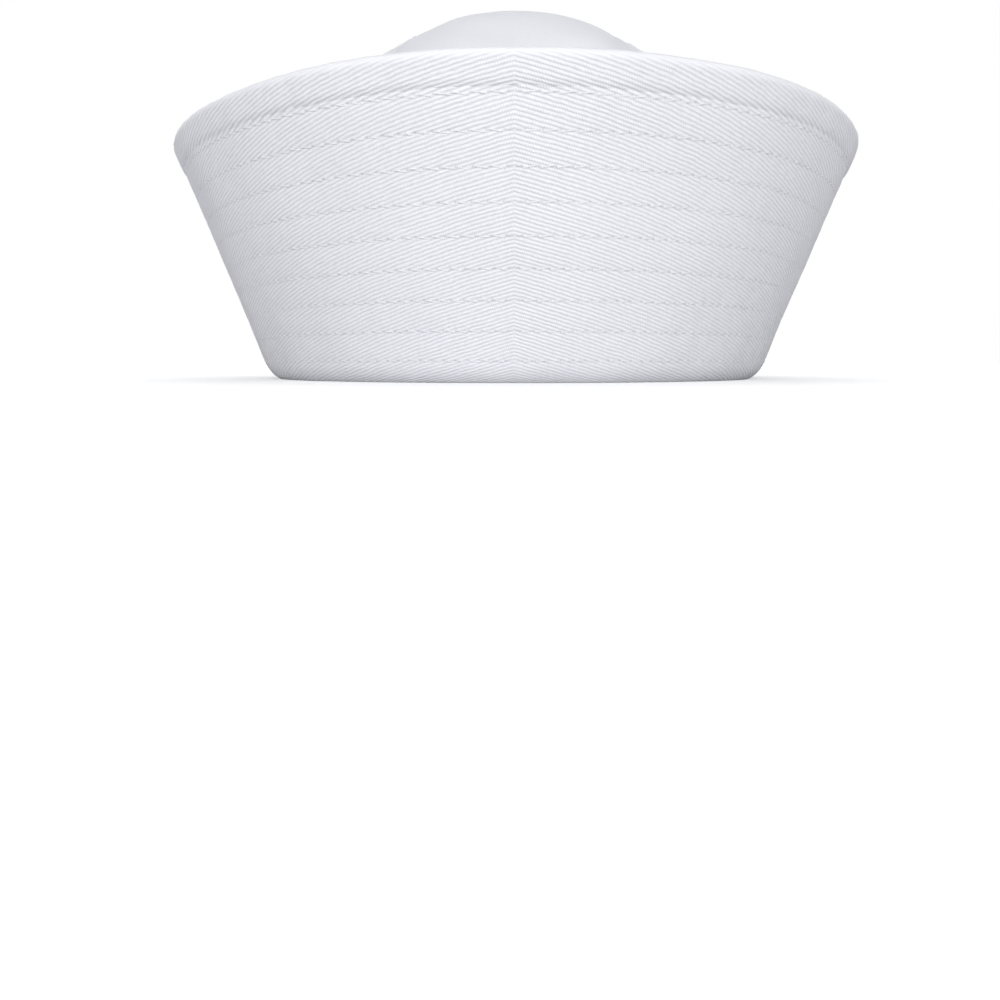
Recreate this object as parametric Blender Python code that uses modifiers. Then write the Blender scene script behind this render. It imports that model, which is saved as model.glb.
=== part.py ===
"""A sailor cap of white cotton twill: a domed crown of four gores, a deep row-stitched brim that is
turned up all round, a hem over the brim's top edge, and a sweatband inside.

Metres, +Z up. The front faces -Y. The cap rests on the fold of its brim at z = 0, with the origin
under the middle of the crown. Run with: blender --background --python part.py
"""

import math

import bmesh
import bpy
from mathutils import Matrix

# Head opening, at the sweatband's inner face
HEAD_HALF_WIDTH = 0.077
HEAD_HALF_LENGTH = 0.0985

# Gap kept between pieces that are sewn to each other
SEAM_GAP = 0.0003

# Sweatband
SWEATBAND_THICKNESS = 0.001
SWEATBAND_HEIGHT = 0.032
SWEATBAND_LIFT = 0.0006

# Crown
CROWN_HEIGHT = 0.119
CROWN_CLOTH = 0.0012
CROWN_LIFT = 0.0012
CROWN_WALL_ABOVE_SWEATBAND = 0.006
DOME_FULLNESS = 2.15
SEAM_SINK = 0.0014
SINK_SHARPNESS = 4
SINK_FADE = 0.35
GORE_TIP_RADIUS = 0.0006

# Brim
BRIM_HEIGHT = 0.0713
BRIM_THICKNESS = 0.0026
BRIM_FLARE = math.radians(20.8)
BRIM_BOW = 0.0004
FOLD_RADIUS = 0.009
FOLD_FLATTENED = 0.0008
FOLD_REACH = 0.0014
SEAM_ALLOWANCE_HEIGHT = 0.009
SEAM_ALLOWANCE_CLOTH = 0.0012

# Hem
HEM_CLOTH = 0.001
HEM_DEPTH = 0.0078
HEM_PROUD = 0.0005

# Facets
COLUMNS_IN_A_QUARTER = 16
GORE_UPRIGHT_ROWS = 2
GORE_DOME_ROWS = 11
FOLD_STEPS = 5
BRIM_WALL_STEPS = 4
SHARP_ANGLE = math.radians(35)

# What follows from the sizes above, as distances outward from the head opening
CROWN_INSIDE = SWEATBAND_THICKNESS + SEAM_GAP
CROWN_OUTSIDE = CROWN_INSIDE + CROWN_CLOTH
ALLOWANCE_INSIDE = CROWN_OUTSIDE + SEAM_GAP
ALLOWANCE_OUTSIDE = ALLOWANCE_INSIDE + SEAM_ALLOWANCE_CLOTH

FRONT_TURN, BACK_TURN = 0.0, math.pi
QUARTER_TURN = math.pi / 2

CLOTH_WHITE = (0.86, 0.865, 0.9, 1.0)
SWEATBAND_WHITE = (0.78, 0.785, 0.82, 1.0)


def clear_scene():
    for scene_object in list(bpy.data.objects):
        bpy.data.objects.remove(scene_object)


def cloth_material(name, color, roughness):
    material = bpy.data.materials.new(name)
    material.use_nodes = True
    shader = material.node_tree.nodes["Principled BSDF"]
    shader.inputs["Base Color"].default_value = color
    shader.inputs["Roughness"].default_value = roughness
    shader.inputs["Metallic"].default_value = 0.0
    return material


def oval_point(turn, outward):
    """A point that far outside the head opening. Turn 0 is the front, and a quarter turn the right side."""
    x, y = HEAD_HALF_WIDTH * math.sin(turn), -HEAD_HALF_LENGTH * math.cos(turn)
    normal_x, normal_y = HEAD_HALF_LENGTH * math.sin(turn), -HEAD_HALF_WIDTH * math.cos(turn)
    length = math.hypot(normal_x, normal_y)
    return x + outward * normal_x / length, y + outward * normal_y / length


def smooth_step(share):
    share = min(max(share, 0.0), 1.0)
    return share * share * (3 - 2 * share)


# Brim section, in (outward, height) pairs

def fold_centre():
    """Centre of the fold's arc. The cloth's lowest bit is pressed flat by the weight of the cap."""
    return ALLOWANCE_INSIDE - FOLD_REACH, FOLD_RADIUS - FOLD_FLATTENED


def fold_point(radius, angle):
    """A point on the fold, with the angle taken from straight down towards the outside."""
    outward, height = fold_centre()
    return outward + radius * math.sin(angle), height - radius * math.cos(angle)


def wall_length():
    """Slant length from the fold's end to the hem's top edge."""
    _, start_height = fold_point(FOLD_RADIUS, math.pi / 2 - BRIM_FLARE)
    return (BRIM_HEIGHT - start_height) / math.cos(BRIM_FLARE)


def wall_point(up, inward):
    """A point of the flared wall: up the slant from the fold's end, and inward from the outer face."""
    start_outward, start_height = fold_point(FOLD_RADIUS, math.pi / 2 - BRIM_FLARE)
    inward = inward + BRIM_BOW * math.sin(math.pi * up / wall_length())
    return (
        start_outward + up * math.sin(BRIM_FLARE) - inward * math.cos(BRIM_FLARE),
        start_height + up * math.cos(BRIM_FLARE) + inward * math.sin(BRIM_FLARE),
    )


def brim_section():
    """Closed outline of the brim: a seam allowance against the crown, the fold, and the flared wall."""
    fold_end = math.pi / 2 - BRIM_FLARE
    inner_radius = FOLD_RADIUS - BRIM_THICKNESS
    flat_start = math.acos((FOLD_RADIUS - FOLD_FLATTENED) / FOLD_RADIUS)
    crotch_start = math.asin((ALLOWANCE_OUTSIDE - fold_centre()[0]) / inner_radius)
    rebate = HEM_CLOTH + SEAM_GAP - HEM_PROUD
    rebate_start = wall_length() - HEM_DEPTH - SEAM_GAP
    rebate_end = wall_length() - HEM_CLOTH - SEAM_GAP
    corner = SEAM_ALLOWANCE_CLOTH / 3
    outline = [(ALLOWANCE_INSIDE, SEAM_ALLOWANCE_HEIGHT), (ALLOWANCE_INSIDE, corner)]
    outline.append((ALLOWANCE_INSIDE + corner, 0.0))
    for step in range(FOLD_STEPS + 1):
        angle = flat_start + (fold_end - flat_start) * step / FOLD_STEPS
        outward, height = fold_point(FOLD_RADIUS, angle)
        outline.append((outward, height if step else 0.0))
    for step in range(1, BRIM_WALL_STEPS + 1):
        outline.append(wall_point(rebate_start * step / BRIM_WALL_STEPS, 0.0))
    outline.append(wall_point(rebate_start, rebate))
    outline.append(wall_point(rebate_end, rebate))
    outline.append(wall_point(rebate_end, BRIM_THICKNESS - rebate))
    outline.append(wall_point(rebate_start, BRIM_THICKNESS - rebate))
    for step in range(BRIM_WALL_STEPS, 0, -1):
        outline.append(wall_point(rebate_start * step / BRIM_WALL_STEPS, BRIM_THICKNESS))
    for step in range(FOLD_STEPS, -1, -1):
        angle = crotch_start + (fold_end - crotch_start) * step / FOLD_STEPS
        outline.append(fold_point(inner_radius, angle))
    outline.append((ALLOWANCE_OUTSIDE, SEAM_ALLOWANCE_HEIGHT))
    return outline


def hem_section():
    """Closed outline of the hem: cloth folded over the brim's top edge and down both of its faces."""
    top = wall_length()
    bottom = top - HEM_DEPTH
    outer, inner = -HEM_PROUD, BRIM_THICKNESS + HEM_PROUD
    corner = HEM_CLOTH / 2
    return [
        wall_point(bottom, outer),
        wall_point((bottom + top) / 2, outer),
        wall_point(top - corner, outer),
        wall_point(top, outer + corner),
        wall_point(top, inner - corner),
        wall_point(top - corner, inner),
        wall_point((bottom + top) / 2, inner),
        wall_point(bottom, inner),
        wall_point(bottom, inner - HEM_CLOTH),
        wall_point(top - HEM_CLOTH, inner - HEM_CLOTH),
        wall_point(top - HEM_CLOTH, outer + HEM_CLOTH),
        wall_point(bottom, outer + HEM_CLOTH),
    ]


def sweatband_section():
    """Closed outline of the sweatband, with its corners eased."""
    ease = SWEATBAND_THICKNESS / 4
    bottom, top = SWEATBAND_LIFT, SWEATBAND_HEIGHT
    return [
        (0.0, top - ease),
        (0.0, bottom + ease),
        (ease, bottom),
        (SWEATBAND_THICKNESS - ease, bottom),
        (SWEATBAND_THICKNESS, bottom + ease),
        (SWEATBAND_THICKNESS, top - ease),
        (SWEATBAND_THICKNESS - ease, top),
        (ease, top),
    ]


# Crown

def dome_start():
    return SWEATBAND_HEIGHT + CROWN_WALL_ABOVE_SWEATBAND


def crown_point(middle_turn, across, rise):
    """A point on a gore's outer face. Across runs from one seam, -1, to the other, 1. Rise 0 to 1 is
    the dome, and -1 to 0 the upright wall under it."""
    dome_height = CROWN_HEIGHT - dome_start()
    x, y = oval_point(middle_turn + across * QUARTER_TURN / 2, CROWN_OUTSIDE)
    if rise <= 0:
        return x, y, dome_start() + rise * (dome_start() - CROWN_LIFT)
    tip_share = GORE_TIP_RADIUS / math.hypot(HEAD_HALF_WIDTH, HEAD_HALF_LENGTH)
    lean = rise * (math.pi / 2 - tip_share)
    spread = math.cos(lean) ** (2 / DOME_FULLNESS)
    lift = math.sin(lean) ** (2 / DOME_FULLNESS)
    fade = smooth_step(rise / SINK_FADE) * smooth_step((1 - rise) / SINK_FADE)
    sunk = 1 - SEAM_SINK / dome_height * abs(across) ** SINK_SHARPNESS * fade
    return x * spread * sunk, y * spread * sunk, dome_start() + dome_height * lift * sunk


# Mesh makers

def finish_mesh(name, mesh_data, material, collection, parent):
    mesh = bpy.data.meshes.new(name)
    bmesh.ops.recalc_face_normals(mesh_data, faces=mesh_data.faces[:])
    mesh_data.to_mesh(mesh)
    mesh_data.free()
    mesh.shade_smooth()
    mesh.set_sharp_from_angle(angle=SHARP_ANGLE)
    mesh.materials.append(material)
    piece = bpy.data.objects.new(name, mesh)
    piece.parent = parent
    collection.objects.link(piece)
    return piece


def grid_sheet(columns, rows):
    """A grid whose vertices hold their column and row numbers as x and y."""
    mesh_data = bmesh.new()
    numbering = Matrix.Diagonal((columns / 2, rows / 2, 1, 1)) @ Matrix.Translation((1, 1, 0))
    bmesh.ops.create_grid(mesh_data, x_segments=columns, y_segments=rows, size=1, matrix=numbering)
    for vertex in mesh_data.verts:
        vertex.co = (round(vertex.co.x), round(vertex.co.y), 0)
    return mesh_data


def swept_solid(section, first_turn, last_turn):
    """A closed section swept round the head opening from one turn to another, welded and capped."""
    columns = round((last_turn - first_turn) / QUARTER_TURN * COLUMNS_IN_A_QUARTER)
    mesh_data = grid_sheet(columns, len(section))
    for vertex in mesh_data.verts:
        turn = first_turn + (last_turn - first_turn) * vertex.co.x / columns
        outward, height = section[round(vertex.co.y) % len(section)]
        vertex.co = (*oval_point(turn, outward), height)
    bmesh.ops.remove_doubles(mesh_data, verts=mesh_data.verts[:], dist=1e-6)
    open_edges = [edge for edge in mesh_data.edges if edge.is_boundary]
    bmesh.ops.holes_fill(mesh_data, edges=open_edges, sides=0)
    return mesh_data


def add_half_ring(name, section, side, material, collection, parent):
    """The left (-1) or right (1) half of a ring, half a seam gap off the middle."""
    first_turn, last_turn = sorted((side * FRONT_TURN, side * BACK_TURN))
    mesh_data = swept_solid(section, first_turn, last_turn)
    for vertex in mesh_data.verts:
        vertex.co.x += side * SEAM_GAP / 2
    return finish_mesh(name, mesh_data, material, collection, parent)


def add_sweatband(material, collection, parent):
    mesh_data = swept_solid(sweatband_section(), FRONT_TURN, 2 * BACK_TURN)
    return finish_mesh("sweatband", mesh_data, material, collection, parent)


def add_gore(name, middle_turn, material, collection, parent):
    """One gore, an open sheet from the cap's lower edge to the crown's tip, thickened inward."""
    mesh_data = grid_sheet(COLUMNS_IN_A_QUARTER, GORE_UPRIGHT_ROWS + GORE_DOME_ROWS)
    along_x, along_y = math.cos(middle_turn), math.sin(middle_turn)
    for vertex in mesh_data.verts:
        across = 2 * vertex.co.x / COLUMNS_IN_A_QUARTER - 1
        row = vertex.co.y - GORE_UPRIGHT_ROWS
        rise = row / (GORE_UPRIGHT_ROWS if row < 0 else GORE_DOME_ROWS)
        x, y, z = crown_point(middle_turn, across, rise)
        gap = across * SEAM_GAP / 2 / math.cos(QUARTER_TURN / 2)
        vertex.co = (x - gap * along_x, y - gap * along_y, z)
    gore = finish_mesh(name, mesh_data, material, collection, parent)
    thickness = gore.modifiers.new("Cloth", "SOLIDIFY")
    thickness.thickness = CROWN_CLOTH
    thickness.offset = -1.0
    thickness.use_even_offset = True
    return gore


def build_cap():
    clear_scene()
    collection = bpy.data.collections.new("Sailor cap")
    bpy.context.scene.collection.children.link(collection)
    cap = bpy.data.objects.new("sailor_cap", None)
    collection.objects.link(cap)

    crown_cloth = cloth_material("crown cloth", CLOTH_WHITE, 0.9)
    brim_cloth = cloth_material("brim cloth", CLOTH_WHITE, 0.85)
    hem_cloth = cloth_material("hem cloth", CLOTH_WHITE, 0.85)
    sweatband_cloth = cloth_material("sweatband cloth", SWEATBAND_WHITE, 0.9)

    for number, side_name in enumerate(("front", "right", "back", "left")):
        name = f"crown_gore_{side_name}"
        add_gore(name, number * QUARTER_TURN, crown_cloth, collection, cap)
    for side, side_name in ((-1, "left"), (1, "right")):
        add_half_ring(f"brim_{side_name}", brim_section(), side, brim_cloth, collection, cap)
        add_half_ring(f"hem_{side_name}", hem_section(), side, hem_cloth, collection, cap)
    add_sweatband(sweatband_cloth, collection, cap)


build_cap()
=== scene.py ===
"""The looks of a white cotton twill sailor cap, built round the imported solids.

Each solid is replaced by cloth of nearly its form, with quilting, stitches, seams and weave. Metres,
+Z up, the front of the cap at -Y. A turn is an angle round the head opening: 0 at the front, and pi at
the back.
"""

import math

import bmesh
import bpy
import numpy as np
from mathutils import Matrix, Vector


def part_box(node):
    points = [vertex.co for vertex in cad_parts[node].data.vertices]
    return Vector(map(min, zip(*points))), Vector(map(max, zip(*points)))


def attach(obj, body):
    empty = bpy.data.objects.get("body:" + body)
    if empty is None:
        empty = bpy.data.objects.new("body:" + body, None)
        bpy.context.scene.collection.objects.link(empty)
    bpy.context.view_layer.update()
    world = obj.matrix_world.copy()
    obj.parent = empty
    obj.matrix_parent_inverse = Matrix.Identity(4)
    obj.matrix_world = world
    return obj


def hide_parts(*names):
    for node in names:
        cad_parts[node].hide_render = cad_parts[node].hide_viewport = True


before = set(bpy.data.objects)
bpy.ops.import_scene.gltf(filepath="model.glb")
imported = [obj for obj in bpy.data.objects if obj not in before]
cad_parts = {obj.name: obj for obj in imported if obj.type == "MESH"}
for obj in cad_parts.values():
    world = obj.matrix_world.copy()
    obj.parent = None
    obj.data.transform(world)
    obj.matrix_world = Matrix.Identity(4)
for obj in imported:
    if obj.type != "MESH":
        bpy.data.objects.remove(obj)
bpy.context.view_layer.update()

MM = 0.001

# Cloth and gaps of the solids
SWEATBAND_THICKNESS = 1.0 * MM
SEAM_GAP = 0.3 * MM
CROWN_CLOTH = 1.2 * MM
BRIM_THICKNESS = 2.6 * MM
ALLOWANCE_CLOTH = 1.2 * MM
ALLOWANCE_HEIGHT = 9.0 * MM
HEM_CLOTH = 1.0 * MM
HEM_DEPTH = 7.8 * MM
HEM_PROUD = 0.5 * MM

# Form of the brim, which is that of its solids
BRIM_FLARE = math.radians(20.8)
BRIM_BOW = 0.4 * MM
FOLD_RADIUS = 9.0 * MM
FOLD_FLATTENED = 0.8 * MM
FOLD_REACH = 1.4 * MM

# Form of the crown, which stands a little lower than its solids
DOME_FULLNESS = 2.14
CROWN_SETTLED = 2.2 * MM
DOME_ABOVE_SWEATBAND = 6.0 * MM
SEAM_SINK = 1.4 * MM
SINK_SHARPNESS = 4
SINK_FADE = 0.35
GORE_TIP_SHARE = 0.0004

# What the frame gives
sweatband_low, sweatband_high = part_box("sweatband")
gore_low, gore_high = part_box("crown_gore_right")
hem_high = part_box("hem_right")[1]
HEAD_HALF_WIDTH = sweatband_high.x - SWEATBAND_THICKNESS
HEAD_HALF_LENGTH = sweatband_high.y - SWEATBAND_THICKNESS
CROWN_OUTSIDE = gore_high.x - HEAD_HALF_WIDTH
CROWN_HEIGHT = gore_high.z
CROWN_LIFT = gore_low.z
DOME_START = sweatband_high.z + DOME_ABOVE_SWEATBAND
ALLOWANCE_INSIDE = CROWN_OUTSIDE + SEAM_GAP
ALLOWANCE_OUTSIDE = ALLOWANCE_INSIDE + ALLOWANCE_CLOTH
HEM_INNER_CORNER = BRIM_THICKNESS + HEM_PROUD - HEM_CLOTH / 2
BRIM_HEIGHT = hem_high.z - HEM_INNER_CORNER * math.sin(BRIM_FLARE)
FOLD_CENTRE = (ALLOWANCE_INSIDE - FOLD_REACH, FOLD_RADIUS - FOLD_FLATTENED)
FOLD_END = math.pi / 2 - BRIM_FLARE

# Quilting: rows of stitches up the brim, counted down from the hem
STITCH_ROWS = 9
ROW_SPACING = 7.7 * MM
FIRST_ROW_BELOW_HEM = 0.6 * MM
CHANNEL_DEPTH = 0.05 * MM
CHANNEL_WIDTH = 0.7 * MM
PUFF = 0.04 * MM
STITCH_PITCH = 3.75 * MM
STITCH_LENGTH = 2.9 * MM
STITCH_SLANT = 0.62 * MM
THREAD_RADIUS = 0.13 * MM
THREAD_SUNK = 0.9
THREAD_ARCH = 1.05
HOLE_DEPTH = 0.12 * MM
HOLE_WIDTH = 0.42 * MM
FIRST_PHASE = 0.3
PHASE_RANGE = 0.4
PHASE_STEP = 0.618

HALF_JOIN_GAP = 0.01 * MM
SMALL = 1e-9

random = np.random.default_rng(20)


# Curves and waves

def smooth_step(share):
    share = np.clip(share, 0, 1)
    return share * share * (3 - 2 * share)


def bump_at(distance, width):
    return np.exp(-((distance / width) ** 2))


class Ripples:
    """Soft waves over a surface, from sines in seeded directions. Coordinates and lengths in metres."""

    def __init__(self, shortest, longest, count=14):
        self.waves = []
        for _ in range(count):
            length = shortest * (longest / shortest) ** random.random()
            direction, phase = random.random(2) * 2 * math.pi
            self.waves.append((math.cos(direction) / length, math.sin(direction) / length, phase))

    def at(self, along, up):
        total = 0.0
        for across_x, across_y, phase in self.waves:
            total = total + np.sin(2 * math.pi * (along * across_x + up * across_y) + phase)
        return total / math.sqrt(len(self.waves))


class RoundWaves:
    """Waves that close on themselves round the cap, by how many there are in a full turn."""

    def __init__(self, fewest, most):
        self.waves = [(count, random.random() * 2 * math.pi) for count in range(fewest, most + 1)]

    def at(self, turn):
        total = sum(np.sin(count * turn + phase) / count for count, phase in self.waves)
        return total * self.waves[0][0]


def oval_point(turn, outward):
    """Points that far outside the head opening."""
    x, y = HEAD_HALF_WIDTH * np.sin(turn), -HEAD_HALF_LENGTH * np.cos(turn)
    normal_x, normal_y = HEAD_HALF_LENGTH * np.sin(turn), -HEAD_HALF_WIDTH * np.cos(turn)
    length = np.hypot(normal_x, normal_y)
    return x + outward * normal_x / length, y + outward * normal_y / length


class Girth:
    """Length round the cap from the front, at a distance outside the head opening, for turns 0 to pi."""

    def __init__(self, outward, steps=4000):
        self.turns = np.linspace(0, math.pi, steps)
        x, y = oval_point(self.turns, outward)
        self.lengths = np.concatenate([[0], np.cumsum(np.hypot(np.diff(x), np.diff(y)))])
        self.half = self.lengths[-1]

    def turn_at(self, along):
        """The turn at a length from the front, which may be negative or past the back."""
        laps = np.floor((along + self.half) / (2 * self.half))
        within = along - laps * 2 * self.half
        turn = np.sign(within) * np.interp(np.abs(within), self.lengths, self.turns)
        return turn + laps * 2 * math.pi


# The brim's section, in outward and height

def fold_point(radius, angle):
    """Points on the fold, with the angle taken from straight down towards the outside."""
    return FOLD_CENTRE[0] + radius * np.sin(angle), FOLD_CENTRE[1] - radius * np.cos(angle)


WALL_START = fold_point(FOLD_RADIUS, FOLD_END)
WALL_LENGTH = (BRIM_HEIGHT - WALL_START[1]) / math.cos(BRIM_FLARE)
REBATE_START = WALL_LENGTH - HEM_DEPTH - SEAM_GAP
WALL_MIDDLE = WALL_START[0] + WALL_LENGTH / 2 * math.sin(BRIM_FLARE)
brim_girth = Girth(WALL_MIDDLE)


def wall_point(up, inward):
    """Points of the flared wall: up the slant from the fold's end, and inward from the outer face."""
    inward = inward + BRIM_BOW * np.sin(math.pi * up / WALL_LENGTH)
    return (
        WALL_START[0] + up * math.sin(BRIM_FLARE) - inward * math.cos(BRIM_FLARE),
        WALL_START[1] + up * math.cos(BRIM_FLARE) + inward * math.sin(BRIM_FLARE),
    )


edge_sway = RoundWaves(fewest=3, most=7)
edge_lift = RoundWaves(fewest=2, most=6)
EDGE_SWAY = 0.35 * MM
EDGE_LIFT = 0.3 * MM
MOST_LOOSE = 1.2


def place_round(turn, outward, height):
    """Section points swept round the head opening. The brim sways a little more towards its top edge."""
    looseness = np.clip(height / BRIM_HEIGHT, 0, MOST_LOOSE) ** 2
    outward = outward + EDGE_SWAY * looseness * edge_sway.at(turn)
    x, y = oval_point(turn, outward)
    z = height + EDGE_LIFT * looseness * edge_lift.at(turn)
    return np.stack(np.broadcast_arrays(x, y, z), axis=-1)


# Quilting

row_heights = REBATE_START - FIRST_ROW_BELOW_HEM - ROW_SPACING * np.arange(STITCH_ROWS)
cloth_waves = Ripples(shortest=28 * MM, longest=75 * MM)
cloth_puckers = Ripples(shortest=5 * MM, longest=11 * MM, count=20)
fold_creases = Ripples(shortest=7 * MM, longest=16 * MM)
NEAR_ROW = ROW_SPACING / 3
CLOTH_WAVE = 0.16 * MM
PUCKER = 0.035 * MM
PUCKER_BETWEEN_ROWS = 0.4
FACES_APART = 40 * MM
FOLD_CREASE = 0.13 * MM
FOLD_CREASE_AT_FRONT = 0.25
FOLD_CREASE_SLOPE = 0.35
FOLD_CREASE_HEIGHT = 7.0 * MM
FOLD_CREASE_REACH = 6.0 * MM
PRESSED_BELOW_FOLD = 6.5 * MM
FREE_OVER = 7.5 * MM


def nearest_row(up):
    return np.abs(np.asarray(up)[..., None] - row_heights).argmin(axis=-1)


def row_phase(row):
    """How far from the front a row's first needle hole is, in stitches."""
    return FIRST_PHASE + PHASE_RANGE * np.mod(row * PHASE_STEP, 1)


def stitch_count(along, row):
    """Stitches counted from the front along a row. Whole numbers are at the needle holes."""
    return along / STITCH_PITCH - row_phase(row)


def quilting(along, up, face):
    """How far the cloth stands off the plain wall. Face is 1 outside and -1 inside."""
    row = nearest_row(up)
    away = up - row_heights[row]
    count = stitch_count(np.abs(along), row)
    to_hole = (count - np.round(count)) * STITCH_PITCH
    channel = -CHANNEL_DEPTH * bump_at(away, CHANNEL_WIDTH)
    near_row = bump_at(away, NEAR_ROW)
    puff = PUFF * (1 - near_row)
    hole = -HOLE_DEPTH * bump_at(away, HOLE_WIDTH) * bump_at(to_hole, HOLE_WIDTH)
    puckered = PUCKER_BETWEEN_ROWS + (1 - PUCKER_BETWEEN_ROWS) * near_row
    pucker = PUCKER * cloth_puckers.at(along, up + FACES_APART * face) * puckered
    wave = CLOTH_WAVE * cloth_waves.at(along, up) * face
    towards_side = np.sin(math.pi * np.abs(along) / brim_girth.half) ** 2
    creased = FOLD_CREASE_AT_FRONT + (1 - FOLD_CREASE_AT_FRONT) * towards_side
    creased = creased * bump_at(up - FOLD_CREASE_HEIGHT, FOLD_CREASE_REACH)
    crease_and_shadow = FOLD_CREASE * fold_creases.at(along, FOLD_CREASE_SLOPE * up) * creased
    return channel + puff + hole + pucker + wave + crease_and_shadow


def looseness_above_floor(up):
    """How free the brim's cloth is to ripple: not at all where its own weight presses the fold flat."""
    return smooth_step((up + PRESSED_BELOW_FOLD) / FREE_OVER)


# Mesh making

def quads_between(columns, rows, closed_columns=False, closed_rows=False):
    """Faces of a grid whose points are numbered column by column."""
    column = np.arange(columns if closed_columns else columns - 1)[:, None]
    row = np.arange(rows if closed_rows else rows - 1)[None, :]
    next_column, next_row = (column + 1) % columns, (row + 1) % rows
    corners = [
        column * rows + row,
        next_column * rows + row,
        next_column * rows + next_row,
        column * rows + next_row,
    ]
    return np.stack(np.broadcast_arrays(*corners), axis=-1).reshape(-1, 4)


def add_piece(name, points, faces, map_name, coordinates, material, sharp_angle=50, by_corner=False):
    """A smooth mesh with its faces turned outwards, and coordinates for a UV map: one pair for each
    point, or for each corner of each face."""
    mesh = bpy.data.meshes.new(name)
    mesh.from_pydata(points.reshape(-1, 3).tolist(), [], [list(map(int, face)) for face in faces])
    if not by_corner:
        corner_points = np.empty(len(mesh.loops), np.int32)
        mesh.loops.foreach_get("vertex_index", corner_points)
        coordinates = coordinates.reshape(-1, 2)[corner_points]
    layer = mesh.uv_layers.new(name=map_name)
    layer.uv.foreach_set("vector", coordinates.astype(np.float32).ravel())
    mesh_data = bmesh.new()
    mesh_data.from_mesh(mesh)
    bmesh.ops.recalc_face_normals(mesh_data, faces=mesh_data.faces[:])
    mesh_data.to_mesh(mesh)
    mesh_data.free()
    mesh.shade_smooth()
    mesh.set_sharp_from_angle(angle=math.radians(sharp_angle))
    mesh.materials.append(material)
    piece = bpy.data.objects.new(name, mesh)
    bpy.context.scene.collection.objects.link(piece)
    return piece


def dress(piece, slot, *nodes):
    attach(piece, "root")
    if nodes:
        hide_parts(*nodes)


def section_normals(outward, height):
    """Normals in the section's plane, to the right of its direction, which is the outside."""
    step_out = np.roll(outward, -1) - np.roll(outward, 1)
    step_up = np.roll(height, -1) - np.roll(height, 1)
    length = np.hypot(step_out, step_up) + SMALL
    return step_up / length, -step_out / length


def half_ring_piece(name, side, outline, lift, along_step, girth, material):
    """Half of a ring with this closed outline. Lift says how far each point moves off the outline."""
    outward, height, cloth_up = (np.array(values) for values in zip(*outline))
    normal_out, normal_up = section_normals(outward, height)
    columns = round(girth.half / along_step) + 1
    along = np.linspace(0, girth.half, columns)[:, None]
    raised = lift(side * along, cloth_up[None, :])
    turn = girth.turn_at(along)
    points = place_round(side * turn, outward + raised * normal_out, height + raised * normal_up)
    points[..., 0] = side * np.maximum(side * points[..., 0], 0) + side * HALF_JOIN_GAP
    rows = len(outline)
    faces = quads_between(columns, rows, closed_rows=True).tolist()
    faces.append(list(range(rows)))
    faces.append(list(range((columns - 1) * rows, columns * rows)))
    cloth = np.stack(np.broadcast_arrays(along / MM, cloth_up / MM), axis=-1)
    return add_piece(name, points, faces, "cloth", cloth, material)


# Brim

ABOUT_A_ROW = np.array([-1.6, -0.9, -0.45, 0, 0.45, 0.9, 1.6]) * MM
BETWEEN_ROWS = np.array([0.36, 0.5, 0.64]) * ROW_SPACING
LOWEST_ON_WALL = 0.7 * MM
CLEAR_OF_FOLD = 0.5 * MM


def wall_heights():
    """Heights up the wall at which the brim has points, closer about each row of stitches."""
    near_rows = (row_heights[:, None] + ABOUT_A_ROW).ravel()
    between_rows = (row_heights[:, None] + BETWEEN_ROWS).ravel()
    heights = np.concatenate([near_rows, between_rows, [LOWEST_ON_WALL, REBATE_START]])
    return np.unique(heights[(heights > CLEAR_OF_FOLD) & (heights <= REBATE_START)])


SEWN_CLOSE = 0.27 * MM
ALLOWANCE_POINTS = 4
FOLD_POINTS = 14
INNER_FOLD_POINTS = 9
TUCKED_UNDER_HEM = 0.7 * MM
DITCH_DEPTH = 0.14 * MM
DITCH_WIDTH = 1.0 * MM
UNDER_HEM_POINTS = 6


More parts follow.
